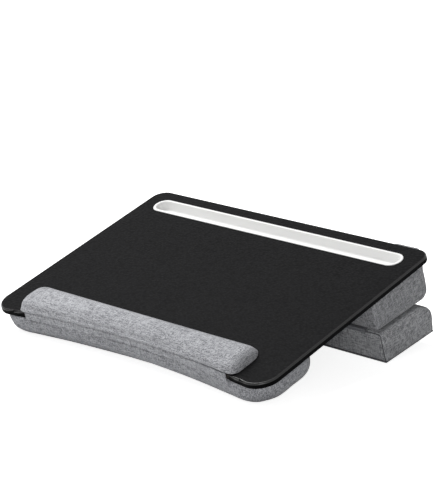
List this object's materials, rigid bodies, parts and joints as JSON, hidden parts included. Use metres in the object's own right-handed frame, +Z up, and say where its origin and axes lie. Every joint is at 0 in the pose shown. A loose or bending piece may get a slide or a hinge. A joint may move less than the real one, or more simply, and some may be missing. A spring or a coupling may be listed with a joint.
{
  "type": "lap desk",
  "caption": "Lap desk with a leatherette top, cloth wrist rest and moulded phone slot, standing on a front bolster and a rear cushion whose lower half folds forward under the board.",
  "frame": {"origin": "on the floor under the middle of the desk's bounding box, in the pose of the picture", "axes": "+X to the user's right along the desk's width, +Y away from the user, +Z up"},
  "size_m": [0.53, 0.3694, 0.1356],
  "materials": {
    "black_leatherette": "satin",
    "fibreboard": "matte",
    "black_lining": "matte",
    "white_plastic": "satin",
    "light_grey_linen": "matte",
    "dark_grey_cloth": "matte",
    "foam": "matte",
    "hook_and_loop": "matte",
    "hinge_webbing": "matte",
    "elastic": "matte"
  },
  "bodies": {
    "desk": {"board_core": "fibreboard", "top_cover": "black_leatherette", "under_lining": "black_lining", "phone_tray": "white_plastic", "wrist_rest_cover": "light_grey_linen", "wrist_rest_foam": "foam", "front_bolster_cover": "light_grey_linen", "front_bolster_foam": "foam", "riser_upper_cover": "dark_grey_cloth", "riser_upper_foam": "foam", "hook_strip": "hook_and_loop", "hinge_tape_upper": "hinge_webbing", "pen_pocket": "dark_grey_cloth", "pen_pocket_binding": "elastic"},
    "lower_riser": {"riser_lower_cover": "dark_grey_cloth", "riser_lower_foam": "foam", "riser_lower_base": "black_lining", "loop_strip": "hook_and_loop", "hinge_tape_lower": "hinge_webbing"}
  },
  "joints": [
    {"name": "riser_fold", "type": "hinge", "parent": "desk", "child": "lower_riser", "pos_m": [0, 0.04937, 0.04398], "axis": [-1, 0, 0], "range_deg": [0, 174]}
  ]
}
